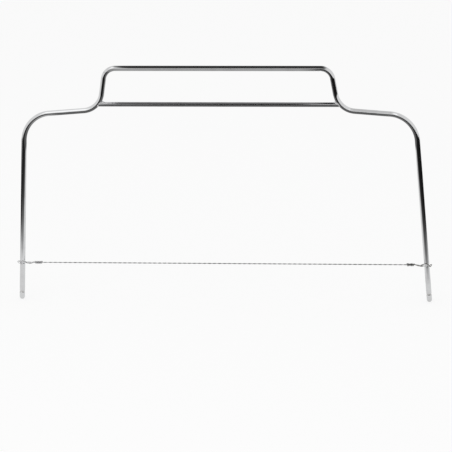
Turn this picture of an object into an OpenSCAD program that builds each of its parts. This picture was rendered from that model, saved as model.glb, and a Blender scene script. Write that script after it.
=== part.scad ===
// Cake leveler: a bent rod frame that carries a thin cutting wire between its legs

/* [Frame] */
// Diameter of the bent frame rod
rod_d = 4; // [3:0.1:5]
// Distance between the leg centres at the tips
foot_span = 310; // [260:1:380]
// Outward lean of each leg in degrees
leg_splay = 3; // [0:0.1:5]
// Height at which the lines of a leg and its arm meet
shoulder_height = 142.5; // [100:0.5:180]
// Bend radius of a shoulder at the rod's centre
shoulder_bend = 21.5; // [8:0.5:30]
// Rise of each arm towards the handle in degrees
arm_rise = 4.5; // [0:0.1:9]

/* [Handle] */
// Distance between the two points at which the lines of arm and riser meet
handle_width = 180; // [150:1:220]
// Height of the top bar's centre above those points
handle_rise = 31.5; // [28:0.5:50]
// Inward lean of each riser in degrees
riser_lean = 9; // [0:0.5:15]
// Bend radius of a knee between arm and riser
knee_bend = 15.5; // [12:0.5:20]
// Bend radius between a riser and the top bar
top_bend = 9; // [5:0.5:13]
// Diameter of the crossbar
crossbar_d = 3.5; // [2.5:0.1:4]
// Height of the crossbar's centre above the arm and riser meeting points
crossbar_lift = 4; // [3:0.1:6]
// Radius of the weld bead at each end of the crossbar
weld_r = 2.6; // [2.3:0.05:3]

/* [Leg grooves] */
// Height of the upper groove, where the wire rests
upper_groove = 28.5; // [20:0.5:60]
// Height of the lower groove
lower_groove = 6; // [4:0.5:12]
// Radius of the round cut that makes a groove
groove_r = 1.5; // [0.8:0.1:2.5]
// Depth of a groove
groove_depth = 0.25; // [0.1:0.05:0.4]

/* [Cutting wire] */
// Diameter of the cutting wire
wire_d = 0.8; // [0.5:0.05:0.9]
// Room between a wire eye and the leg that it runs on
eye_clearance = 0.15; // [0.1:0.05:0.4]
// Distance from a leg's centre to the neck of its eye
eye_neck = 9.5; // [7:0.5:14]
// Turns that each wire end makes round the wire
wrap_turns = 4; // [2:1:6]
// Distance from one turn to the next
wrap_pitch = 1.3; // [1.3:0.05:1.8]

/* [Hidden] */

round_steps = 32;        // sides of a round rod
bend_steps = 72;         // steps of a full turn of a bend
bead_steps = 32;         // sides of a weld bead
tube_sides = 6;          // sides of the wound wire
loop_steps = 24;         // rings in one loop of the wound wire
neck_gap = 0.5;          // least gap between the two strands at an eye's neck
core_gap = 0.03;         // gap between the wire and the turns round it
bend_thinning = 0.02;    // how much a bend's radius falls short of the straight rod's
seam = 0.05;             // how far a straight run reaches into each bend that it meets
lead_length = 1.2;       // length over which a strand closes in on the wire
lead_turn = 25;          // turn in degrees over which most of that happens

rod_r = rod_d / 2;
wire_r = wire_d / 2;

// Directions of travel along the right half of the rod, in degrees from +X towards +Z
leg_dir = 90 + leg_splay;
arm_dir = 180 - arm_rise;
riser_dir = 90 + riser_lean;
bar_dir = 180;

// Corners at which the straight runs would meet, as [x, z]
leg_tip = [foot_span / 2 - rod_r * tan(leg_splay), rod_r];
shoulder = [leg_x(shoulder_height), shoulder_height];
knee = [handle_width / 2, shoulder[1] + (shoulder[0] - handle_width / 2) * tan(arm_rise)];
top_corner = [knee[0] - handle_rise * tan(riser_lean), knee[1] + handle_rise];

crossbar_z = knee[1] + crossbar_lift;
knee_centre = bend_centre(knee, arm_dir, riser_dir, knee_bend);
joint_drop = knee_centre[1] - crossbar_z;
joint_x = knee_centre[0] - sqrt(pow(knee_bend, 2) - pow(joint_drop, 2));
joint_face_x = knee_centre[0] - sqrt(pow(knee_bend + rod_r, 2) - pow(joint_drop, 2));

// The eye is long enough to pass the leg at both grooves, because the legs lean outwards
eye_r = rod_r + eye_clearance + wire_r;
eye_rest_x = leg_x(upper_groove);
eye_far_x = leg_x(lower_groove);
neck_x = eye_rest_x - eye_neck;
neck_y = wire_d + neck_gap;
coil_r = wire_r + core_gap + wire_r;

// Distance of a leg's centre from the middle of the frame at a height
function leg_x(height) = foot_span / 2 - height * tan(leg_splay);

// Unit vector in the frame's plane, as [x, z]
function dir(a) = [cos(a), sin(a)];

// Length that a bend takes from each straight run that it joins
function bend_reach(from_dir, to_dir, r) = r * tan(abs(to_dir - from_dir) / 2);

// Ends and centre of a bend that rounds off a corner
function bend_start(corner, from_dir, to_dir, r) = corner - bend_reach(from_dir, to_dir, r) * dir(from_dir);
function bend_end(corner, from_dir, to_dir, r) = corner + bend_reach(from_dir, to_dir, r) * dir(to_dir);
function bend_side(from_dir, to_dir) = to_dir > from_dir ? 90 : -90;
function bend_centre(corner, from_dir, to_dir, r) =
    bend_start(corner, from_dir, to_dir, r) + r * dir(from_dir + bend_side(from_dir, to_dir));

// Straight run of rod between two points of the frame's plane, a little longer at both ends
module straight(a, b, d, reach = 0) {
    translate([a[0], 0, a[1]])
        rotate([0, 90 - atan2(b[1] - a[1], b[0] - a[0]), 0])
            translate([0, 0, -reach])
                cylinder(h = norm(b - a) + 2 * reach, d = d, $fn = round_steps);
}

// Bend of the rod at a corner
module bend(corner, from_dir, to_dir, r) {
    centre = bend_centre(corner, from_dir, to_dir, r);
    side = bend_side(from_dir, to_dir);
    first = min(from_dir - side, to_dir - side);
    translate([centre[0], 0, centre[1]])
        rotate([90, -first, 0])
            rotate_extrude(angle = abs(to_dir - from_dir), $fn = bend_steps)
                translate([r, 0])
                    circle(r = rod_r - bend_thinning, $fn = round_steps);
}

// Half outline of a leg with its domed tip and its two grooves, from the dome's centre up
module leg_outline(length) {
    difference() {
        union() {
            square([rod_r, length]);
            intersection() {
                circle(r = rod_r, $fn = round_steps);
                translate([0, -rod_r])
                    square([rod_r, rod_r]);
            }
        }
        for (height = [lower_groove, upper_groove])
            translate([rod_r + groove_r - groove_depth, (height - rod_r) / cos(leg_splay)])
                circle(r = groove_r, $fn = bead_steps);
    }
}

module leg() {
    top = bend_start(shoulder, leg_dir, arm_dir, shoulder_bend);
    translate([leg_tip[0], 0, leg_tip[1]])
        rotate([0, 90 - leg_dir, 0])
            rotate_extrude($fn = round_steps)
                leg_outline(norm(top - leg_tip) + seam);
}

module knee_rod() {
    bend(knee, arm_dir, riser_dir, knee_bend);
}

// Right half of the frame rod, up to the top bar
module half_frame() {
    leg();
    bend(shoulder, leg_dir, arm_dir, shoulder_bend);
    straight(bend_end(shoulder, leg_dir, arm_dir, shoulder_bend),
             bend_start(knee, arm_dir, riser_dir, knee_bend), rod_d, seam);
    knee_rod();
    straight(bend_end(knee, arm_dir, riser_dir, knee_bend),
             bend_start(top_corner, riser_dir, bar_dir, top_bend), rod_d, seam);
    bend(top_corner, riser_dir, bar_dir, top_bend);
}

// Puts the left copy of a piece beside the right one
module both_sides() {
    children();
    mirror([1, 0, 0])
        children();
}

module frame_rod() {
    bar_end = bend_end(top_corner, riser_dir, bar_dir, top_bend);
    color("silver")
        union() {
            both_sides()
                half_frame();
            straight(bar_end, [-bar_end[0], bar_end[1]], rod_d, seam);
        }
}

// Crossbar before its ends are shaped to the knees
module plain_crossbar() {
    straight([-joint_x, crossbar_z], [joint_x, crossbar_z], crossbar_d);
}

module handle_crossbar() {
    color("gainsboro")
        difference() {
            plain_crossbar();
            both_sides()
                knee_rod();
        }
}

// Bead round the right end of the crossbar, against the knee
module weld() {
    difference() {
        translate([joint_face_x, 0, crossbar_z])
            sphere(r = weld_r, $fn = bead_steps);
        knee_rod();
        plain_crossbar();
    }
}

module left_weld() {
    color("darkgray")
        mirror([1, 0, 0])
            weld();
}

module right_weld() {
    color("darkgray")
        weld();
}

module cutting_wire() {
    color("lightsteelblue")
        straight([-neck_x, upper_groove], [neck_x, upper_groove], wire_d);
}

// Angle at which a strand from a point beside the neck touches the circle round the leg
function touch_angle(y) = asin(eye_r / norm([eye_neck, y])) - atan2(y, eye_neck);

// Route of the right eye, level with the wire: out in front of the leg, round it,
// and back behind it to the neck
front_touch = touch_angle(0);
back_touch = touch_angle(neck_y);
arc_steps = loop_steps / 2;
eye_route = concat(
    [[neck_x, 0, 0], [neck_x + wire_d, 0, 0]],
    [for (i = [0:2]) let (a = 270 - front_touch * (2 - i) / 2)
        [eye_rest_x + eye_r * cos(a), eye_r * sin(a), 0]],
    [for (i = [0:arc_steps]) let (a = 270 + 180 * i / arc_steps)
        [eye_far_x + eye_r * cos(a), eye_r * sin(a), 0]],
    [for (i = [0:2]) let (a = 90 + back_touch * i / 2)
        [eye_rest_x + eye_r * cos(a), eye_r * sin(a), 0]]);

// Route of the turns: the strand closes in on the wire and winds along it
wrap_steps = wrap_turns * loop_steps;
function wrap_point(a) =
    let (lead = exp(-a / lead_turn))
    let (r = coil_r + (neck_y - coil_r) * lead)
    [neck_x - wrap_pitch * a / 360 - lead_length * (1 - lead), r * cos(a), r * sin(a)];
wrap_route = [for (i = [0:wrap_steps]) wrap_point(360 * i / loop_steps)];

// The cut end runs on straight for one wire diameter
wrap_end = wrap_route[wrap_steps];
wrap_tail = wrap_end + wire_d * unit(wrap_end - wrap_route[wrap_steps - 1]);
wire_route = concat(eye_route, wrap_route, [wrap_tail]);

function unit(v) = v / norm(v);

// Direction of a route at each of its points
function headings(route) = [for (i = [0:len(route) - 1])
    unit(route[min(i + 1, len(route) - 1)] - route[max(i - 1, 0)])];

// Side vectors that follow a route without twisting about it
function sides(heads, i = 0, side = [0, 0, 1]) =
    i >= len(heads) ? [] :
    let (s = unit(side - (side * heads[i]) * heads[i]))
    concat([s], sides(heads, i + 1, s));

// Closed tube of one diameter along a route
module tube(route, d) {
    heads = headings(route);
    ups = sides(heads);
    last = len(route) - 1;
    points = [for (i = [0:last]) for (k = [0:tube_sides - 1])
        let (a = 360 * k / tube_sides)
        route[i] + d / 2 * (cos(a) * ups[i] + sin(a) * cross(heads[i], ups[i]))];
    walls = [for (i = [0:last - 1]) for (k = [0:tube_sides - 1])
        let (a = i * tube_sides + k)
        let (b = i * tube_sides + (k + 1) % tube_sides)
        each [[a, b, b + tube_sides], [a, b + tube_sides, a + tube_sides]]];
    start_cap = [for (k = [1:tube_sides - 2]) [0, k + 1, k]];
    end_first = last * tube_sides;
    end_cap = [for (k = [1:tube_sides - 2]) [end_first, end_first + k, end_first + k + 1]];
    polyhedron(points = points, faces = concat(start_cap, walls, end_cap));
}

// Length of a route up to each of its points
function run_lengths(route, i = 0, sum = 0) =
    i >= len(route) ? [] :
    let (s = sum + (i > 0 ? norm(route[i] - route[i - 1]) : 0))
    concat([s], run_lengths(route, i + 1, s));

// Least gap between two stretches of a tube that lie over three diameters apart along it
function least_gap(route, d) =
    let (run = run_lengths(route))
    min([for (i = [0:len(route) - 1]) for (j = [i + 1:1:len(route) - 1])
        if (run[j] - run[i] > 3 * d) norm(route[j] - route[i])]) - d;
echo(least_gap_of_a_wire_eye = least_gap(wire_route, wire_d));

module wire_eye() {
    translate([0, 0, upper_groove])
        tube(wire_route, wire_d);
}

module left_wire_eye() {
    color("lightslategray")
        mirror([1, 0, 0])
            wire_eye();
}

module right_wire_eye() {
    color("lightslategray")
        wire_eye();
}

frame_rod();
handle_crossbar();
left_weld();
right_weld();
cutting_wire();
left_wire_eye();
right_wire_eye();
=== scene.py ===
import math

import bpy
from mathutils import Matrix, Vector, noise


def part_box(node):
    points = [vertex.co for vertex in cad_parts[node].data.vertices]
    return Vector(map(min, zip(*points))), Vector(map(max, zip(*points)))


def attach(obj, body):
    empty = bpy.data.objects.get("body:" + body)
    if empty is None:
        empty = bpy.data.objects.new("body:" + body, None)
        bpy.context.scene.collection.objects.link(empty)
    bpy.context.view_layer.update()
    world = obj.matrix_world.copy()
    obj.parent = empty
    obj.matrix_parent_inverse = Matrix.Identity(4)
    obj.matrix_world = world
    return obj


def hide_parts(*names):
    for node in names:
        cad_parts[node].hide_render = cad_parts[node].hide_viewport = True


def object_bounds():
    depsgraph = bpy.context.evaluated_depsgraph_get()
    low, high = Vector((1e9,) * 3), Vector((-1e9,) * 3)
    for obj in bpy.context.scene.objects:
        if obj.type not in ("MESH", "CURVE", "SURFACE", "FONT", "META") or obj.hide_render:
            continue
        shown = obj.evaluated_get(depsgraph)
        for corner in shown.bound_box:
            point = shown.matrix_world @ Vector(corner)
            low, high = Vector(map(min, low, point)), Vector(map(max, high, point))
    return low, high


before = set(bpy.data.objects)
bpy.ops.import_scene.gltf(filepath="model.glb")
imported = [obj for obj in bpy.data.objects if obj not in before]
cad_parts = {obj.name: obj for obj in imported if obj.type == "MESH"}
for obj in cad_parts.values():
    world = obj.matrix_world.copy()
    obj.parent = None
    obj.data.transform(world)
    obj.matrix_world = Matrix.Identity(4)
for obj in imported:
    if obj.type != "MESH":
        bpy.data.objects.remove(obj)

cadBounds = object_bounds()
mm = 0.001


# Where the camera stood, and the lens that frames the leveler as the photo does
camera = {
    "azimuth": 8.7,             # degrees towards +X, seen from above
    "elevation": 14.0,          # degrees above the frame's own normal
    "roll": -1.8,
    "distance": 3750 * mm,
    "lookAt": (2.76 * mm, 0.0, 57.6 * mm),
    "focalLength": 398.2,
    "sensorWidth": 36,
    "clip": (0.1, 60),
}

# The bent rod: leg, shoulder, arm, knee, riser and half of the top bar, mirrored
rod = {
    "diameter": 4 * mm,
    "footSpan": 310 * mm,
    "tipHeight": 2.003 * mm,    # of the centre of a leg's domed tip
    "legSplay": 3,
    "shoulderHeight": 142.5 * mm,
    "shoulderBend": 21.5 * mm,
    "armRise": 4.5,
    "handleWidth": 180 * mm,
    "handleRise": 31.5 * mm,
    "riserLean": 9,
    "kneeBend": 15.5 * mm,
    "topBend": 9 * mm,
    "grooveHeights": (6 * mm, 28.5 * mm),
    "grooveWidth": 1.66 * mm,
    "grooveDepth": 0.25 * mm,
    "sides": 40,
    "bendStep": 2.5,            # degrees from one ring to the next
    "straightStep": 4 * mm,     # from one ring to the next along a leg
    "leastStep": 0.01 * mm,     # a ring that is nearer to the last one is left out
    "bendMargin": 0.2 * mm,     # kept free of rings before the shoulder's first one
    "domeSteps": 12,
    "grooveSteps": 16,
    "leastThickness": 0.02,     # of the ring at the dome's point, as a share
}

crossbar = {
    "diameter": 3.5 * mm,
    "intoKnee": 2.4 * mm,       # how far its end sinks into the knee
    "rings": 48,
    "sides": 36,
}

weld = {
    "above": 0.9 * mm,          # how far the bead stands out from the crossbar at the knee, above it
    "below": 0.5 * mm,
    "cheek": 0.16 * mm,         # and in front and behind
    "reachAbove": 2.6 * mm,     # how far it runs out along the crossbar
    "reachBelow": 1.5 * mm,
    "sunk": 0.8 * mm,           # how far it goes into the knee
    "hollow": 1.8,              # how hollow the fillet is: 1 is straight
    "lump": 0.14 * mm,          # how uneven its surface is
    "lumpSize": 1.1 * mm,
    "hidden": 0.06 * mm,        # how far its thin end lies under the crossbar's surface
    "around": 40,               # points in a ring of the bead
    "along": 26,                # rings that lie outside the knee
    "seed": 4,
}

wire = {
    "diameter": 0.8 * mm,
    "strands": 2,
    "lay": 7.6 * mm,            # length of one full twist
    "spacing": 0.35 * mm,       # from one ring of a strand to the next
    "sides": 10,
}

# The lifts are heights above the wire's level, at shares of the way out, round the leg and back
eye = {
    "clearance": 0.095 * mm,    # between the twisted wire and the leg
    "neck": 9.5 * mm,           # from the leg's centre to where the winding starts
    "turns": 6,
    "turnPitch": 0.87 * mm,
    "coreGap": 0.12 * mm,       # between the winding and the wire inside it
    "spacing": 0.12 * mm,
    "routeStep": 0.2 * mm,
    "touchSteps": 3,            # where a strand comes up to the leg and leaves it
    "arcSteps": 24,             # round the leg
    "turnSteps": 30,            # in one turn of the winding
    "tail": 0.9 * mm,
    "tailSteps": 4,
    "easing": 12,               # how often the kinks are taken out of the route
    "leftLifts": ((0, 0), (0.14, -0.6 * mm), (0.31, 1.4 * mm), (0.38, -0.2 * mm), (0.5, 0.7 * mm),
                  (0.7, -0.2 * mm), (0.85, -0.4 * mm), (1, 0)),
    "rightLifts": ((0, 0), (0.14, -0.1 * mm), (0.31, 1.5 * mm), (0.43, -0.9 * mm), (0.5, 0.2 * mm),
                   (0.7, -1.3 * mm), (0.86, -1.5 * mm), (1, 0)),
}


# Small helpers for node trees

def newTree(name, kind, inputs, outputs):
    tree = bpy.data.node_groups.new(name, kind)
    for label, socketKind, value in inputs:
        socket = tree.interface.new_socket(label, in_out="INPUT", socket_type=socketKind)
        if value is not None:
            socket.default_value = value
    for label, socketKind in outputs:
        tree.interface.new_socket(label, in_out="OUTPUT", socket_type=socketKind)
    return tree, tree.nodes.new("NodeGroupInput").outputs, tree.nodes.new("NodeGroupOutput").inputs


def addNode(tree, kind, inputs=None, **settings):
    node = tree.nodes.new(kind)
    for name, value in settings.items():
        setattr(node, name, value)
    for key, value in (inputs or {}).items():
        if isinstance(value, bpy.types.NodeSocket):
            tree.links.new(value, node.inputs[key])
        else:
            node.inputs[key].default_value = value
    return node


def maths(tree, operation, first, second=0.0):
    return addNode(tree, "ShaderNodeMath", {0: first, 1: second}, operation=operation).outputs[0]


def vectors(tree, operation, first, second):
    return addNode(tree, "ShaderNodeVectorMath", {0: first, 1: second}, operation=operation).outputs[0]


def scaled(tree, vector, factor):
    return addNode(tree, "ShaderNodeVectorMath", {0: vector, "Scale": factor}, operation="SCALE").outputs[0]


def ramp(tree, value, low, high, kind="SMOOTHSTEP"):
    return addNode(tree, "ShaderNodeMapRange", {
        "Value": value, "From Min": low, "From Max": high}, interpolation_type=kind).outputs[0]


# Finishes: bright metal with fine marks and duller smudges. The scales are counts for each metre

wireMarks = {
    "Along Scale": 300.0,
    "Across Scale": 9000.0,
    "Smudge Scale": 400.0,
    "Smooth": 0.22,
    "Rough": 0.4,
}

finishes = {
    "frameChrome": {
        "metallic": 1.0, "bumpStrength": 0.1, "bumpDepth": 0.01 * mm,
        "marks": {"Smooth": 0.035, "Rough": 0.11,
                  "Bright": (0.63, 0.635, 0.64, 1), "Dull": (0.56, 0.56, 0.565, 1)},
    },
    "crossbarChrome": {
        "metallic": 1.0, "bumpStrength": 0.12, "bumpDepth": 0.01 * mm,
        "marks": {"Smooth": 0.06, "Rough": 0.16, "Across Scale": 3200.0,
                  "Bright": (0.6, 0.6, 0.61, 1), "Dull": (0.5, 0.5, 0.505, 1)},
    },
    "weldChrome": {             # satin and half diffuse, with a pale colour so that the beads stay light: partly a painted highlight
        "metallic": 0.5, "bumpStrength": 0.2, "bumpDepth": 0.02 * mm,
        "marks": {"Along Scale": 900.0, "Across Scale": 1200.0, "Smudge Scale": 500.0,
                  "Smooth": 0.36, "Rough": 0.48,
                  "Bright": (0.88, 0.88, 0.885, 1), "Dull": (0.7, 0.7, 0.705, 1)},
    },
    "wireSteel": {
        "metallic": 1.0, "bumpStrength": 0.2, "bumpDepth": 0.005 * mm,
        "marks": {**wireMarks, "Bright": (0.42, 0.42, 0.425, 1), "Dull": (0.22, 0.22, 0.225, 1)},
    },
    # The wire and its eyes are one steel, given in three tones: a lighter copy of its colour for the left
    # eye and a darker copy for the right eye
    "lighterWireSteel": {
        "metallic": 1.0, "bumpStrength": 0.2, "bumpDepth": 0.005 * mm,
        "marks": {**wireMarks, "Bright": (0.58, 0.58, 0.585, 1), "Dull": (0.36, 0.36, 0.365, 1)},
    },
    "darkerWireSteel": {
        "metallic": 1.0, "bumpStrength": 0.2, "bumpDepth": 0.005 * mm,
        "marks": {**wireMarks, "Bright": (0.3, 0.295, 0.285, 1), "Dull": (0.14, 0.137, 0.132, 1)},
    },
}

# The ranges are stretches of a noise, from where a mark starts to where it is full
marking = {
    "smudgeRange": (0.42, 0.7),
    "scratchRange": (0.56, 0.72),
    "scratchShare": 0.8,
}

# Rubbing rings that roughen the leg, and a painted shade that darkens its lower groove in patches
rubbingAndGrooveShade = {
    "low": 4 * mm,
    "high": 31 * mm,
    "fadeAtFoot": 2 * mm,
    "fadeAtTop": 4 * mm,
    "ringScale": 2200.0,
    "ringStretch": (0.12, 0.12, 1.0),
    "ringRange": (0.5, 0.68),
    "roughening": 0.12,
    "grooveReach": 1.3 * mm,    # how far the painted groove shade reaches above and below the groove
    # The next two give the painted shade that darkens the lower groove in patches
    "grooveShadeRange": (0.25, 0.6),
    "grooveShadeColour": (0.42, 0.41, 0.4, 1),
}


def fineMarksGroup():
    # Marks that run along a rod or a strand, with soft smudges between them
    tree, given, made = newTree("fineMarks", "ShaderNodeTree", [
        ("Along Scale", "NodeSocketFloat", 60.0),
        ("Across Scale", "NodeSocketFloat", 2600.0),
        ("Smudge Scale", "NodeSocketFloat", 90.0),
        ("Smooth", "NodeSocketFloat", 0.05),
        ("Rough", "NodeSocketFloat", 0.14),
        ("Bright", "NodeSocketColor", (0.62, 0.62, 0.62, 1)),
        ("Dull", "NodeSocketColor", (0.5, 0.5, 0.5, 1)),
    ], [("Color", "NodeSocketColor"), ("Roughness", "NodeSocketFloat"), ("Height", "NodeSocketFloat")])
    place = addNode(tree, "ShaderNodeAttribute", attribute_name="rodSpace").outputs["Vector"]
    stretch = addNode(tree, "ShaderNodeCombineXYZ", {
        "X": given["Along Scale"], "Y": given["Across Scale"], "Z": given["Across Scale"]}).outputs[0]
    drawn = addNode(tree, "ShaderNodeTexNoise", {
        "Vector": vectors(tree, "MULTIPLY", place, stretch), "Scale": 1.0, "Detail": 3.0}).outputs["Fac"]
    smudge = addNode(tree, "ShaderNodeTexNoise", {
        "Vector": place, "Scale": given["Smudge Scale"], "Detail": 4.0, "Roughness": 0.6}).outputs["Fac"]
    patch = ramp(tree, smudge, *marking["smudgeRange"])
    scratch = ramp(tree, drawn, *marking["scratchRange"], kind="LINEAR")
    dullness = maths(tree, "MAXIMUM", patch, maths(tree, "MULTIPLY", scratch, marking["scratchShare"]))
    colour = addNode(tree, "ShaderNodeMix", {
        "Factor": dullness, 6: given["Bright"], 7: given["Dull"]}, data_type="RGBA").outputs[2]
    roughness = addNode(tree, "ShaderNodeMapRange", {
        "Value": dullness, "To Min": given["Smooth"], "To Max": given["Rough"]}).outputs[0]
    tree.links.new(colour, made["Color"])
    tree.links.new(roughness, made["Roughness"])
    tree.links.new(drawn, made["Height"])
    return tree


def rubbingAndGrooveShadeGroup():
    # Where a wire eye slides the leg is rubbed in rings, and its lower groove is darkened in patches:
    # painted shade of the groove
    tree, given, made = newTree("rubbingAndGrooveShade", "ShaderNodeTree", [
        ("Low", "NodeSocketFloat", rubbingAndGrooveShade["low"]),
        ("High", "NodeSocketFloat", rubbingAndGrooveShade["high"]),
        ("Ring Scale", "NodeSocketFloat", rubbingAndGrooveShade["ringScale"]),
        ("Groove Height", "NodeSocketFloat", rod["grooveHeights"][0]),
        ("Groove Reach", "NodeSocketFloat", rubbingAndGrooveShade["grooveReach"]),
    ], [("Mask", "NodeSocketFloat"), ("Groove Shade", "NodeSocketFloat")])
    place = addNode(tree, "ShaderNodeTexCoord").outputs["Object"]
    height = addNode(tree, "ShaderNodeSeparateXYZ", {0: place}).outputs["Z"]
    foot = maths(tree, "ADD", given["Low"], rubbingAndGrooveShade["fadeAtFoot"])
    top = maths(tree, "SUBTRACT", given["High"], rubbingAndGrooveShade["fadeAtTop"])
    above = ramp(tree, height, given["Low"], foot, kind="LINEAR")
    below = ramp(tree, height, given["High"], top, kind="LINEAR")
    rings = addNode(tree, "ShaderNodeTexNoise", {
        "Vector": vectors(tree, "MULTIPLY", place, rubbingAndGrooveShade["ringStretch"]),
        "Scale": given["Ring Scale"], "Detail": 2.0}).outputs["Fac"]
    streak = ramp(tree, rings, *rubbingAndGrooveShade["ringRange"], kind="LINEAR")
    band = maths(tree, "MULTIPLY", above, below)
    tree.links.new(maths(tree, "MULTIPLY", band, streak), made["Mask"])
    off = maths(tree, "ABSOLUTE", maths(tree, "SUBTRACT", height, given["Groove Height"]))
    near = ramp(tree, off, given["Groove Reach"], 0.0)
    patchy = ramp(tree, rings, *rubbingAndGrooveShade["grooveShadeRange"], kind="LINEAR")
    tree.links.new(maths(tree, "MULTIPLY", near, patchy), made["Groove Shade"])
    return tree


finishGroups = {"marks": fineMarksGroup(), "rubbedAndGrooveShaded": rubbingAndGrooveShadeGroup()}


def metalFinish(name, rubbedAndGrooveShaded=False):
    look = finishes[name]
    material = bpy.data.materials.new(name)
    material.use_nodes = True
    tree = material.node_tree
    shader = tree.nodes["Principled BSDF"]
    shader.inputs["Metallic"].default_value = look["metallic"]
    group = addNode(tree, "ShaderNodeGroup", node_tree=finishGroups["marks"])
    for label, value in look["marks"].items():
        group.inputs[label].default_value = value
    colour, roughness = group.outputs["Color"], group.outputs["Roughness"]
    if rubbedAndGrooveShaded:
        band = addNode(tree, "ShaderNodeGroup", node_tree=finishGroups["rubbedAndGrooveShaded"])
        added = maths(tree, "MULTIPLY", band.outputs["Mask"], rubbingAndGrooveShade["roughening"])
        roughness = maths(tree, "ADD", roughness, added)
        # Painted shade: the lower groove is darkened in patches
        colour = addNode(tree, "ShaderNodeMix", {
            "Factor": band.outputs["Groove Shade"], 6: colour, 7: rubbingAndGrooveShade["grooveShadeColour"],
        }, data_type="RGBA").outputs[2]
    tree.links.new(colour, shader.inputs["Base Color"])
    tree.links.new(roughness, shader.inputs["Roughness"])
    bump = addNode(tree, "ShaderNodeBump", {
        "Strength": look["bumpStrength"], "Distance": look["bumpDepth"], "Height": group.outputs["Height"]})
    tree.links.new(bump.outputs["Normal"], shader.inputs["Normal"])
    return material


# Geometry Nodes that sweep a rod, and that twist strands along a path

def profileCurve(tree, sides, radius):
    circle = addNode(tree, "GeometryNodeCurvePrimitiveCircle", {"Resolution": sides, "Radius": radius})
    capture = addNode(tree, "GeometryNodeCaptureAttribute", {"Geometry": circle.outputs["Curve"]})
    capture.capture_items.new("VECTOR", "Offset")
    position = addNode(tree, "GeometryNodeInputPosition").outputs["Position"]
    tree.links.new(position, capture.inputs["Offset"])
    return capture.outputs["Geometry"], capture.outputs["Offset"]


def finishedMesh(tree, mesh, along, offset, material, made):
    # Keeps where each point lies along and round the rod, for the finishes
    parts = addNode(tree, "ShaderNodeSeparateXYZ", {0: offset})
    place = addNode(tree, "ShaderNodeCombineXYZ", {
        "X": along, "Y": parts.outputs["X"], "Z": parts.outputs["Y"]}).outputs[0]
    stored = addNode(tree, "GeometryNodeStoreNamedAttribute", {
        "Geometry": mesh, "Name": "rodSpace", "Value": place}, data_type="FLOAT_VECTOR", domain="POINT")
    smooth = addNode(tree, "GeometryNodeSetShadeSmooth", {"Geometry": stored.outputs["Geometry"]})
    real = addNode(tree, "GeometryNodeRealizeInstances", {"Geometry": smooth.outputs["Geometry"]})
    painted = addNode(tree, "GeometryNodeSetMaterial", {
        "Geometry": real.outputs["Geometry"], "Material": material})
    tree.links.new(painted.outputs["Geometry"], made["Geometry"])


def sweptRodTree():
    tree, given, made = newTree("sweptRod", "GeometryNodeTree", [
        ("Geometry", "NodeSocketGeometry", None),
        ("Diameter", "NodeSocketFloat", 0.004),
        ("Sides", "NodeSocketInt", 32),
        ("Finish", "NodeSocketMaterial", None),
    ], [("Geometry", "NodeSocketGeometry")])
    path = addNode(tree, "GeometryNodeMeshToCurve", {"Mesh": given["Geometry"]}).outputs["Curve"]
    thickness = addNode(tree, "GeometryNodeInputNamedAttribute", {"Name": "thickness"}).outputs["Attribute"]
    along = addNode(tree, "GeometryNodeInputNamedAttribute", {"Name": "along"}).outputs["Attribute"]
    profile, offset = profileCurve(tree, given["Sides"], maths(tree, "MULTIPLY", given["Diameter"], 0.5))
    swept = addNode(tree, "GeometryNodeCurveToMesh", {
        "Curve": path, "Profile Curve": profile, "Scale": thickness, "Fill Caps": True}).outputs["Mesh"]
    finishedMesh(tree, swept, along, offset, given["Finish"], made)
    return tree


def twistedStrandsTree():
    tree, given, made = newTree("twistedStrands", "GeometryNodeTree", [
        ("Geometry", "NodeSocketGeometry", None),
        ("Strands", "NodeSocketInt", 2),
        ("Strand Radius", "NodeSocketFloat", 0.000175),
        ("Lay Radius", "NodeSocketFloat", 0.000175),
        ("Lay Length", "NodeSocketFloat", 0.0076),
        ("Spacing", "NodeSocketFloat", 0.0003),
        ("Sides", "NodeSocketInt", 10),
        ("Finish", "NodeSocketMaterial", None),
    ], [("Geometry", "NodeSocketGeometry")])
    path = addNode(tree, "GeometryNodeMeshToCurve", {"Mesh": given["Geometry"]}).outputs["Curve"]
    even = addNode(tree, "GeometryNodeResampleCurve", {
        "Curve": path, "Length": given["Spacing"]}, mode="LENGTH")
    measured = addNode(tree, "GeometryNodeCaptureAttribute", {"Geometry": even.outputs["Curve"]})
    measured.capture_items.new("FLOAT", "Length")
    measured.capture_items.new("VECTOR", "Normal")
    measured.capture_items.new("VECTOR", "Tangent")
    fields = {"SplineParameter": "Length", "InputNormal": "Normal", "InputTangent": "Tangent"}
    for kind, label in fields.items():
        tree.links.new(addNode(tree, "GeometryNode" + kind).outputs[label], measured.inputs[label])
    copies = addNode(tree, "GeometryNodeDuplicateElements", {
        "Geometry": measured.outputs["Geometry"], "Amount": given["Strands"]}, domain="SPLINE")
    turns = maths(tree, "ADD",
                  maths(tree, "DIVIDE", measured.outputs["Length"], given["Lay Length"]),
                  maths(tree, "DIVIDE", copies.outputs["Duplicate Index"], given["Strands"]))
    angle = maths(tree, "MULTIPLY", turns, 2 * math.pi)
    side = vectors(tree, "CROSS_PRODUCT", measured.outputs["Tangent"], measured.outputs["Normal"])
    shift = vectors(tree, "ADD",
                    scaled(tree, measured.outputs["Normal"], maths(tree, "COSINE", angle)),
                    scaled(tree, side, maths(tree, "SINE", angle)))
    moved = addNode(tree, "GeometryNodeSetPosition", {
        "Geometry": copies.outputs["Geometry"], "Offset": scaled(tree, shift, given["Lay Radius"])})
    profile, offset = profileCurve(tree, given["Sides"], given["Strand Radius"])
    swept = addNode(tree, "GeometryNodeCurveToMesh", {
        "Curve": moved.outputs["Geometry"], "Profile Curve": profile, "Fill Caps": True}).outputs["Mesh"]
    finishedMesh(tree, swept, measured.outputs["Length"], offset, given["Finish"], made)
    return tree


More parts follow.
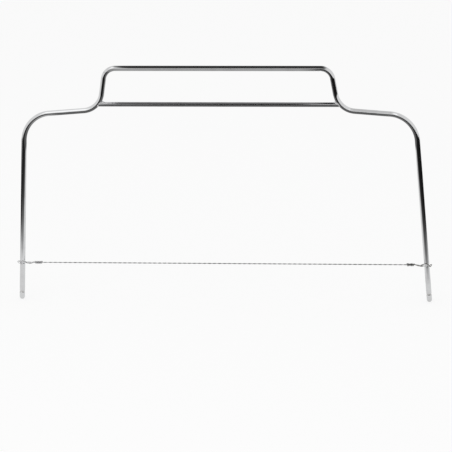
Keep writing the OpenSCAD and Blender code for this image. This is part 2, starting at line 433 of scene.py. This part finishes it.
def pathObject(name, points, thickness=None):
    mesh = bpy.data.meshes.new(name)
    mesh.from_pydata([tuple(p) for p in points], [(i, i + 1) for i in range(len(points) - 1)], [])
    along = mesh.attributes.new("along", "FLOAT", "POINT")
    thick = mesh.attributes.new("thickness", "FLOAT", "POINT")
    run = 0.0
    for i, point in enumerate(points):
        if i:
            run += (Vector(point) - Vector(points[i - 1])).length
        along.data[i].value = run
        thick.data[i].value = thickness[i] if thickness else 1.0
    made = bpy.data.objects.new(name, mesh)
    bpy.context.scene.collection.objects.link(made)
    return made


def bakedPiece(carrier, tree, inputs):
    # Runs the tree once and keeps its result as a plain mesh
    modifier = carrier.modifiers.new("build", "NODES")
    modifier.node_group = tree
    for item in tree.interface.items_tree:
        if item.in_out == "INPUT" and item.name in inputs:
            modifier[item.identifier] = inputs[item.name]
    bpy.context.view_layer.update()
    evaluated = carrier.evaluated_get(bpy.context.evaluated_depsgraph_get())
    result = bpy.data.meshes.new_from_object(evaluated)
    carrier.modifiers.remove(modifier)
    old = carrier.data
    carrier.data = result
    result.name = carrier.name
    bpy.data.meshes.remove(old)


# Path of the rod in the frame's plane, in metres

def direction(degrees):
    return Vector((math.cos(math.radians(degrees)), 0, math.sin(math.radians(degrees))))


def legX(height):
    return rod["footSpan"] / 2 - height * math.tan(math.radians(rod["legSplay"]))


def bendAt(corner, fromDegrees, toDegrees, radius):
    turn = toDegrees - fromDegrees
    side = 90 if turn > 0 else -90
    reach = radius * math.tan(math.radians(abs(turn) / 2))
    start = corner - reach * direction(fromDegrees)
    centre = start + radius * direction(fromDegrees + side)
    steps = max(2, round(abs(turn) / rod["bendStep"]))
    points = [centre + radius * direction(fromDegrees - side + turn * i / steps) for i in range(steps + 1)]
    return {"points": points, "centre": centre}


def rodLayout():
    radius = rod["diameter"] / 2
    splay = math.radians(rod["legSplay"])
    shoulder = Vector((legX(rod["shoulderHeight"]), 0, rod["shoulderHeight"]))
    kneeX = rod["handleWidth"] / 2
    knee = Vector((kneeX, 0, shoulder.z + (shoulder.x - kneeX) * math.tan(math.radians(rod["armRise"]))))
    topZ = knee.z + rod["handleRise"]
    top = Vector((knee.x - rod["handleRise"] * math.tan(math.radians(rod["riserLean"])), 0, topZ))
    legWay, armWay, riserWay = 90 + rod["legSplay"], 180 - rod["armRise"], 90 + rod["riserLean"]
    return {
        "tip": Vector((rod["footSpan"] / 2 - radius * math.tan(splay), 0, rod["tipHeight"])),
        "legWay": direction(legWay),
        "shoulder": bendAt(shoulder, legWay, armWay, rod["shoulderBend"]),
        "knee": bendAt(knee, armWay, riserWay, rod["kneeBend"]),
        "top": bendAt(top, riserWay, 180, rod["topBend"]),
    }


def legRadius(distance):
    # Share of the full radius at a distance along the leg from the dome's centre
    radius = rod["diameter"] / 2
    if distance < 0:
        return math.sqrt(max(radius ** 2 - distance ** 2, 0)) / radius
    for height in rod["grooveHeights"]:
        off = distance - (height - radius) / math.cos(math.radians(rod["legSplay"]))
        if abs(off) < rod["grooveWidth"] / 2:
            bite = rod["grooveDepth"] * (1 + math.cos(2 * math.pi * off / rod["grooveWidth"])) / 2
            return (radius - bite) / radius
    return 1.0


def legStations(length):
    # Distances along the leg at which it has a ring: close together at the dome and the grooves
    radius = rod["diameter"] / 2
    domeSteps, grooveSteps, longStep = rod["domeSteps"], rod["grooveSteps"], rod["straightStep"]
    stations = [-radius * math.cos(math.radians(90 * i / domeSteps)) for i in range(domeSteps + 1)]
    for height in rod["grooveHeights"]:
        middle = (height - radius) / math.cos(math.radians(rod["legSplay"]))
        stations += [middle + rod["grooveWidth"] * (i / grooveSteps - 0.5) for i in range(grooveSteps + 1)]
    stations += [longStep * i for i in range(1, int(length / longStep) + 1)]
    stations = sorted(s for s in stations if s < length - rod["bendMargin"])
    kept = [stations[0]]
    for station in stations[1:]:
        if station - kept[-1] > rod["leastStep"]:
            kept.append(station)
    return kept


def rodPath():
    layout = rodLayout()
    top = layout["shoulder"]["points"][0]
    stations = legStations((top - layout["tip"]).length)
    half = [layout["tip"] + s * layout["legWay"] for s in stations]
    thickness = [max(legRadius(s), rod["leastThickness"]) for s in stations]
    for name in ("shoulder", "knee", "top"):
        half += layout[name]["points"]
        thickness += [1.0] * len(layout[name]["points"])
    other = [Vector((-p.x, p.y, p.z)) for p in reversed(half)]
    return half + other, thickness + thickness[::-1]


def makeFrameRod(tree, finish):
    points, thickness = rodPath()
    piece = pathObject("bentFrameRod", points, thickness)
    bakedPiece(piece, tree, {
        "Diameter": rod["diameter"], "Sides": rod["sides"], "Finish": finish})
    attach(piece, "frame")
    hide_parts("frame_rod")


def kneeFace(y, z):
    # Where a line that runs level along the frame, from its middle, meets the right knee
    knee = rodLayout()["knee"]["centre"]
    tube = rod["diameter"] / 2
    reach = rod["kneeBend"] + math.sqrt(max(tube ** 2 - y ** 2, 0))
    return knee.x - math.sqrt(reach ** 2 - (knee.z - z) ** 2)


def crossbarHeight():
    low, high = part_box("handle_crossbar")
    return (low.z + high.z) / 2


def makeCrossbar(tree, finish):
    height = crossbarHeight()
    end = kneeFace(0, height) + crossbar["intoKnee"]
    rings = crossbar["rings"]
    points = [Vector((end * (2 * i / rings - 1), 0, height)) for i in range(rings + 1)]
    piece = pathObject("handleCrossbar", points)
    bakedPiece(piece, tree, {
        "Diameter": crossbar["diameter"], "Sides": crossbar["sides"], "Finish": finish})
    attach(piece, "frame")
    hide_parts("handle_crossbar")


def weldSpot(out, angle, height):
    # A point of the right bead at a share of its reach, at an angle from straight up
    bar = crossbar["diameter"] / 2
    upper = (1 + math.cos(angle)) / 2
    crest = weld["above"] if math.cos(angle) > 0 else weld["below"]
    spread = weld["cheek"] + (crest - weld["cheek"]) * math.cos(angle) ** 2
    reach = weld["reachBelow"] + (weld["reachAbove"] - weld["reachBelow"]) * upper
    face = kneeFace((bar + spread) * math.sin(angle), height + (bar + spread) * math.cos(angle))
    hidden = weld["hidden"]
    share = max(out, 0)
    radius = bar - hidden + (spread + hidden) * (1 - share) ** weld["hollow"]
    radial = Vector((0, math.sin(angle), math.cos(angle)))
    spot = Vector((face - share * reach, 0, height)) + radius * radial
    if out < 0:
        spot.x += weld["sunk"]
    return spot, radial


def makeWeld(name, node, side, finish):
    height = crossbarHeight()
    around = weld["around"]
    points, faces = [], []
    for i in range(weld["along"] + 1):
        out = (i - 1) / (weld["along"] - 1)     # the first ring is the one inside the knee
        for k in range(around):
            spot, radial = weldSpot(out, 2 * math.pi * k / around, height)
            bump = noise.noise((spot + Vector((weld["seed"] * side * mm, 0, 0))) / weld["lumpSize"])
            spot += radial * bump * weld["lump"] * (1 - max(out, 0))
            points.append(Vector((spot.x * side, spot.y, spot.z)))
    for i in range(weld["along"]):
        for k in range(around):
            a, b = i * around + k, i * around + (k + 1) % around
            quad = (a, b, b + around, a + around)
            faces.append(quad if side > 0 else quad[::-1])
    first = tuple(range(around))
    last = tuple(range(weld["along"] * around, (weld["along"] + 1) * around))
    faces.append(first[::-1] if side > 0 else first)
    faces.append(last if side > 0 else last[::-1])
    mesh = bpy.data.meshes.new(name)
    mesh.from_pydata([tuple(p) for p in points], [], faces)
    place = mesh.attributes.new("rodSpace", "FLOAT_VECTOR", "POINT")
    for i, p in enumerate(points):
        place.data[i].vector = p
    mesh.polygons.foreach_set("use_smooth", [True] * len(mesh.polygons))
    mesh.materials.append(finish)
    piece = bpy.data.objects.new(name, mesh)
    bpy.context.scene.collection.objects.link(piece)
    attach(piece, "frame")
    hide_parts(node)


def makeWire(tree, finish):
    low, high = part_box("cutting_wire")
    height = (low.z + high.z) / 2
    end = high.x - eye["turns"] * eye["turnPitch"] / 2      # it meets the eyes under the winding
    piece = pathObject("twistedCuttingWire", [Vector((-end, 0, height)), Vector((end, 0, height))])
    bakedPiece(piece, tree, strandInputs(finish))
    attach(piece, "wire")
    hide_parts("cutting_wire")


def strandInputs(finish):
    strandRadius = wire["diameter"] / 4
    return {"Strands": wire["strands"], "Strand Radius": strandRadius, "Lay Radius": strandRadius,
            "Lay Length": wire["lay"], "Spacing": wire["spacing"], "Sides": wire["sides"], "Finish": finish}


def ringSpot(angle, x):
    radius = rod["diameter"] / 2 + eye["clearance"] + wire["diameter"] / 2
    turned = math.radians(angle)
    return Vector((x, 0, 0)) + radius * Vector((math.cos(turned), math.sin(turned), 0))


def loopRoute():
    # Right eye, level with the wire: out in front of the leg, round it, and back behind it
    restX = legX(rod["grooveHeights"][1])
    farX = legX(rod["grooveHeights"][0])
    neck = Vector((restX - eye["neck"], 0, 0))
    lean = math.degrees(math.asin(ringSpot(0, 0).x / eye["neck"]))
    touchSteps, arcSteps = eye["touchSteps"], eye["arcSteps"]
    corners = [neck]
    corners += [ringSpot(270 - lean * (1 - i / touchSteps), restX) for i in range(touchSteps + 1)]
    corners += [ringSpot(270 + 180 * i / arcSteps, farX) for i in range(arcSteps + 1)]
    corners += [ringSpot(90 + lean * i / touchSteps, restX) for i in range(touchSteps + 1)]
    corners.append(neck + Vector((0, wire["diameter"] + eye["coreGap"], 0)))
    return corners


def evenly(points, step):
    spread = [points[0]]
    for start, end in zip(points, points[1:]):
        count = max(1, round((end - start).length / step))
        spread += [start.lerp(end, i / count) for i in range(1, count + 1)]
    return spread


def liftAt(lifts, share):
    # Height of the strand above the wire's level, eased between the heights that the dictionary gives
    for (a, low), (b, high) in zip(lifts, lifts[1:]):
        if share <= b:
            return low + (high - low) * (1 - math.cos(math.pi * (share - a) / (b - a))) / 2
    return lifts[-1][1]


def relaxed(points, passes):
    # Takes the kinks out of a bent wire, with its two ends held
    for _ in range(passes):
        inner = [(a + 2 * b + c) / 4 for a, b, c in zip(points, points[1:], points[2:])]
        points = [points[0]] + inner + [points[-1]]
    return points


def eyeRoute(lifts):
    loop = evenly(loopRoute(), eye["routeStep"])
    last = len(loop) - 1
    loop = [p + Vector((0, 0, liftAt(lifts, i / last))) for i, p in enumerate(loop)]
    neck, coilRadius = loop[0], wire["diameter"] + eye["coreGap"]
    hidden = eye["turns"] * eye["turnPitch"] / 2
    core = evenly([neck - Vector((hidden, 0, 0)), neck], eye["routeStep"])
    steps = eye["turnSteps"]
    winding = []
    for i in range(1, eye["turns"] * steps + 1):
        angle = 2 * math.pi * i / steps
        winding.append(neck + Vector((-eye["turnPitch"] * i / steps,
                                      coilRadius * math.cos(angle), coilRadius * math.sin(angle))))
    heading = (winding[-1] - winding[-2]).normalized()
    tailSteps = eye["tailSteps"]
    tail = [winding[-1] + heading * eye["tail"] * i / tailSteps for i in range(1, tailSteps + 1)]
    return relaxed(core[:-1] + loop + winding + tail, eye["easing"])


def makeEye(name, node, side, lifts, tree, finish):
    low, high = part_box("cutting_wire")
    height = (low.z + high.z) / 2
    piece = pathObject(name, [Vector((p.x * side, p.y, p.z + height)) for p in eyeRoute(lifts)])
    inputs = strandInputs(finish)
    inputs["Spacing"] = eye["spacing"]
    bakedPiece(piece, tree, inputs)
    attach(piece, "wire")
    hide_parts(node)


# Floor, light and camera

stage = {
    "floorSize": 24.0,
    "floorColour": (0.9, 0.9, 0.9, 1),
    "floorGlow": 0.75,          # share of the floor's white that the lamp doesn't have to give
    "floorRoughness": 0.9,
    "ambient": 0.88,            # how strongly the pale room lights things
    "lampSize": 1.2,
    "lampDistance": 1.35,
    "lampAzimuth": -12,         # degrees towards -X
    "lampElevation": 50,
    "lampPower": 2.6,
}

# A dark sheet that only polished metal sees: a painted reflection of dark surroundings. It lies low in
# front of the frame and beside it and thins out towards the frame, so that the rods keep a dark core above
# and turn pale near the floor
darkSheet = {
    "height": 15 * mm,
    "grey": 0.012,
    "x": (-1.6, 9.0),
    "y": (-11.0, 0.4),
    "edge": 0.033,              # how far in front of the frame it starts, at the middle
    "slant": 0.18,              # how much nearer that is for each metre to the right
    "length": 0.062,            # the depth over which it gains most of its darkness
    "poolDepth": 0.04,          # how much further the pale floor reaches in the middle
    "poolWidth": 0.09,
    "wingStart": 0.19,          # from here outwards it runs back past the frame
    "wingWidth": 0.2,
    "leftFade": (-1.3, -0.45),  # over this stretch it thins out to the left
}

# Grey sheets that only polished metal sees, level ones above and below the rods that run across: painted
# reflections of shade over and beside the rods
greySheets = {
    "underArms": {"height": 112 * mm, "x": (-0.142, 0.137),
                  "y": (-0.1, 0.04), "grey": 0.17, "soft": 0.02},
    "underTopBar": {"height": 176.2 * mm, "x": (-0.092, 0.079),
                    "y": (-0.04, 0.04), "grey": 0.52, "soft": 0.02},
    "betweenBars": {"height": 176 * mm, "x": (-0.092, 0.079),
                    "y": (-0.04, 0.04), "grey": 0.27, "soft": 0.02},
    "frontOfBars": {"height": 175.5 * mm, "x": (-0.112, 0.068),
                    "y": (-0.6, -0.012), "grey": 0.02, "soft": 0.02},
    "overTopBar": {"height": 200 * mm, "x": (-0.09, 0.095),
                   "y": (-0.11, 0.07), "grey": 0.05, "soft": 0.015},
    "overRightArm": {"height": 300 * mm, "x": (0.02, 0.155),
                     "y": (-0.4, 0.4), "grey": 0.8, "soft": 0.03},
    "rightOfRoom": {"height": 165 * mm, "x": (0.12, 9.0),
                    "y": (-11.0, -0.25), "grey": 0.02, "soft": 0.1},
}


def seenRays(tree):
    # Is 1 for the rays of the camera and for those that mirror or pass through something
    path = addNode(tree, "ShaderNodeLightPath")
    total = path.outputs["Is Camera Ray"]
    for kind in ("Is Glossy Ray", "Is Transmission Ray"):
        total = maths(tree, "MAXIMUM", total, path.outputs[kind])
    return total


def makeWorld():
    world = bpy.data.worlds.new("paleRoom")
    bpy.context.scene.world = world
    world.use_nodes = True
    tree = world.node_tree
    tree.nodes.clear()
    white = (1, 1, 1, 1)
    seen = addNode(tree, "ShaderNodeBackground", {"Color": white, "Strength": 1.0}).outputs[0]
    lit = addNode(tree, "ShaderNodeBackground", {"Color": white, "Strength": stage["ambient"]}).outputs[0]
    mixed = addNode(tree, "ShaderNodeMixShader", {0: seenRays(tree), 1: lit, 2: seen}).outputs[0]
    addNode(tree, "ShaderNodeOutputWorld", {"Surface": mixed})


def plane(name, corners, material):
    mesh = bpy.data.meshes.new(name)
    mesh.from_pydata(corners, [], [tuple(range(len(corners)))])
    mesh.materials.append(material)
    made = bpy.data.objects.new(name, mesh)
    bpy.context.scene.collection.objects.link(made)
    return made


def paleFloor():
    material = bpy.data.materials.new("paleFloor")
    material.use_nodes = True
    tree = material.node_tree
    shader = tree.nodes["Principled BSDF"]
    shader.inputs["Base Color"].default_value = stage["floorColour"]
    shader.inputs["Roughness"].default_value = stage["floorRoughness"]
    shader.inputs["Specular IOR Level"].default_value = 0.0
    glow = addNode(tree, "ShaderNodeEmission", {"Color": (1, 1, 1, 1), "Strength": 1.0}).outputs[0]
    share = maths(tree, "MULTIPLY", seenRays(tree), stage["floorGlow"])
    mixed = addNode(tree, "ShaderNodeMixShader", {0: share, 1: shader.outputs[0], 2: glow}).outputs[0]
    tree.links.new(mixed, tree.nodes["Material Output"].inputs["Surface"])
    return material


def paintedReflectionGlow(name, grey, coverOf):
    # A plain grey glow that shows only where the sheet covers: a painted reflection
    material = bpy.data.materials.new(name)
    material.use_nodes = True
    tree = material.node_tree
    tree.nodes.remove(tree.nodes["Principled BSDF"])
    where = addNode(tree, "ShaderNodeTexCoord").outputs["Object"]
    place = addNode(tree, "ShaderNodeSeparateXYZ", {0: where})
    clear = addNode(tree, "ShaderNodeBsdfTransparent").outputs[0]
    glow = addNode(tree, "ShaderNodeEmission", {"Color": (grey, grey, grey, 1), "Strength": 1.0}).outputs[0]
    cover = coverOf(tree, place.outputs["X"], place.outputs["Y"])
    mixed = addNode(tree, "ShaderNodeMixShader", {0: cover, 1: clear, 2: glow}).outputs[0]
    tree.links.new(mixed, tree.nodes["Material Output"].inputs["Surface"])
    return material


def darkSheetCover(tree, x, y):
    across = maths(tree, "ABSOLUTE", x)
    spread = maths(tree, "POWER", maths(tree, "DIVIDE", across, darkSheet["poolWidth"]), 2.0)
    pool = maths(tree, "MULTIPLY", maths(tree, "EXPONENT", maths(tree, "MULTIPLY", spread, -1.0)),
                 darkSheet["poolDepth"])
    slanted = maths(tree, "SUBTRACT", darkSheet["edge"], maths(tree, "MULTIPLY", x, darkSheet["slant"]))
    depth = maths(tree, "SUBTRACT", maths(tree, "MULTIPLY", y, -1.0), maths(tree, "ADD", slanted, pool))
    inside = maths(tree, "MAXIMUM", depth, 0.0)
    thinned = maths(tree, "EXPONENT", maths(tree, "DIVIDE", inside, -darkSheet["length"]))
    wing = ramp(tree, across, darkSheet["wingStart"], darkSheet["wingStart"] + darkSheet["wingWidth"])
    cover = maths(tree, "MAXIMUM", maths(tree, "SUBTRACT", 1.0, thinned), wing)
    return maths(tree, "MULTIPLY", cover, ramp(tree, x, *darkSheet["leftFade"]))


def greySheetCover(sizes):
    def cover(tree, x, y):
        total = 1.0
        for value, (low, high) in ((x, sizes["x"]), (y, sizes["y"])):
            total = maths(tree, "MULTIPLY", total, ramp(tree, value, low, low + sizes["soft"]))
            total = maths(tree, "MULTIPLY", total, ramp(tree, value, high, high - sizes["soft"]))
        return total
    return cover


def makeFloor():
    half = stage["floorSize"] / 2
    plane("floor", [(-half, -half, 0), (half, -half, 0), (half, half, 0), (-half, half, 0)], paleFloor())


def makeSheet(name, sizes, finish):
    (left, right), (front, back), height = sizes["x"], sizes["y"], sizes["height"]
    sheet = plane(name, [(left, front, height), (right, front, height), (right, back, height),
                         (left, back, height)], finish)
    sheet.visible_camera = False
    sheet.visible_diffuse = False
    sheet.visible_shadow = False
    sheet.visible_transmission = False


def makeSheets():
    # The sheets glow at a set grey and put painted reflections into the metal
    makeSheet("darkSheet", darkSheet, paintedReflectionGlow("darkSheet", darkSheet["grey"], darkSheetCover))
    for name, sizes in greySheets.items():
        makeSheet(name, sizes, paintedReflectionGlow(name, sizes["grey"], greySheetCover(sizes)))


def makeLamp():
    data = bpy.data.lights.new("softLamp", "AREA")
    data.shape = "SQUARE"
    data.size = stage["lampSize"]
    data.energy = stage["lampPower"]
    lamp = bpy.data.objects.new("softLamp", data)
    bpy.context.scene.collection.objects.link(lamp)
    low, high = cadBounds
    centre = (Vector(low) + Vector(high)) / 2
    turn, tilt = math.radians(stage["lampAzimuth"]), math.radians(stage["lampElevation"])
    away = Vector((math.sin(turn) * math.cos(tilt), -math.cos(turn) * math.cos(tilt), math.sin(tilt)))
    lamp.location = centre + stage["lampDistance"] * away
    lamp.rotation_euler = away.to_track_quat("Z", "Y").to_euler()
    lamp.visible_camera = False


def makeCamera():
    data = bpy.data.cameras.new("camera")
    data.lens = camera["focalLength"]
    data.sensor_width = camera["sensorWidth"]
    data.clip_start, data.clip_end = camera["clip"]
    made = bpy.data.objects.new("camera", data)
    bpy.context.scene.collection.objects.link(made)
    turn, rise, roll = (math.radians(camera[k]) for k in ("azimuth", "elevation", "roll"))
    ahead = Vector((-math.sin(turn) * math.cos(rise), math.cos(turn) * math.cos(rise), -math.sin(rise)))
    level = Vector((math.cos(turn), math.sin(turn), 0))
    upright = level.cross(ahead)
    right = math.cos(roll) * level + math.sin(roll) * upright
    up = math.cos(roll) * upright - math.sin(roll) * level
    place = Vector(camera["lookAt"]) - camera["distance"] * ahead
    made.matrix_world = Matrix.Translation(place) @ Matrix((right, up, -ahead)).transposed().to_4x4()
    bpy.context.scene.camera = made


bpy.context.scene.view_settings.view_transform = "Standard"
makeCamera()
makeWorld()
makeFloor()
makeSheets()
makeLamp()
print("stage: floor, sheets, lamp and camera are in place")

rodTree = sweptRodTree()
makeFrameRod(rodTree, metalFinish("frameChrome", rubbedAndGrooveShaded=True))
makeCrossbar(rodTree, metalFinish("crossbarChrome"))
# The welds' pale, half diffuse finish is partly a painted highlight
weldFinish = metalFinish("weldChrome")
makeWeld("leftWeldBead", "left_weld", -1, weldFinish)
makeWeld("rightWeldBead", "right_weld", 1, weldFinish)
print("frame: rod, crossbar and welds are made")

strandTree = twistedStrandsTree()
wireFinish = metalFinish("wireSteel")
lighterWireFinish = metalFinish("lighterWireSteel")
darkerWireFinish = metalFinish("darkerWireSteel")
makeWire(strandTree, wireFinish)
# The left eye gets the lighter copy of the wire steel, the right eye the darker copy
makeEye("leftTwistedEye", "left_wire_eye", -1, eye["leftLifts"], strandTree, lighterWireFinish)
makeEye("rightTwistedEye", "right_wire_eye", 1, eye["rightLifts"], strandTree, darkerWireFinish)
print("wire: twisted wire and its two eyes are made")
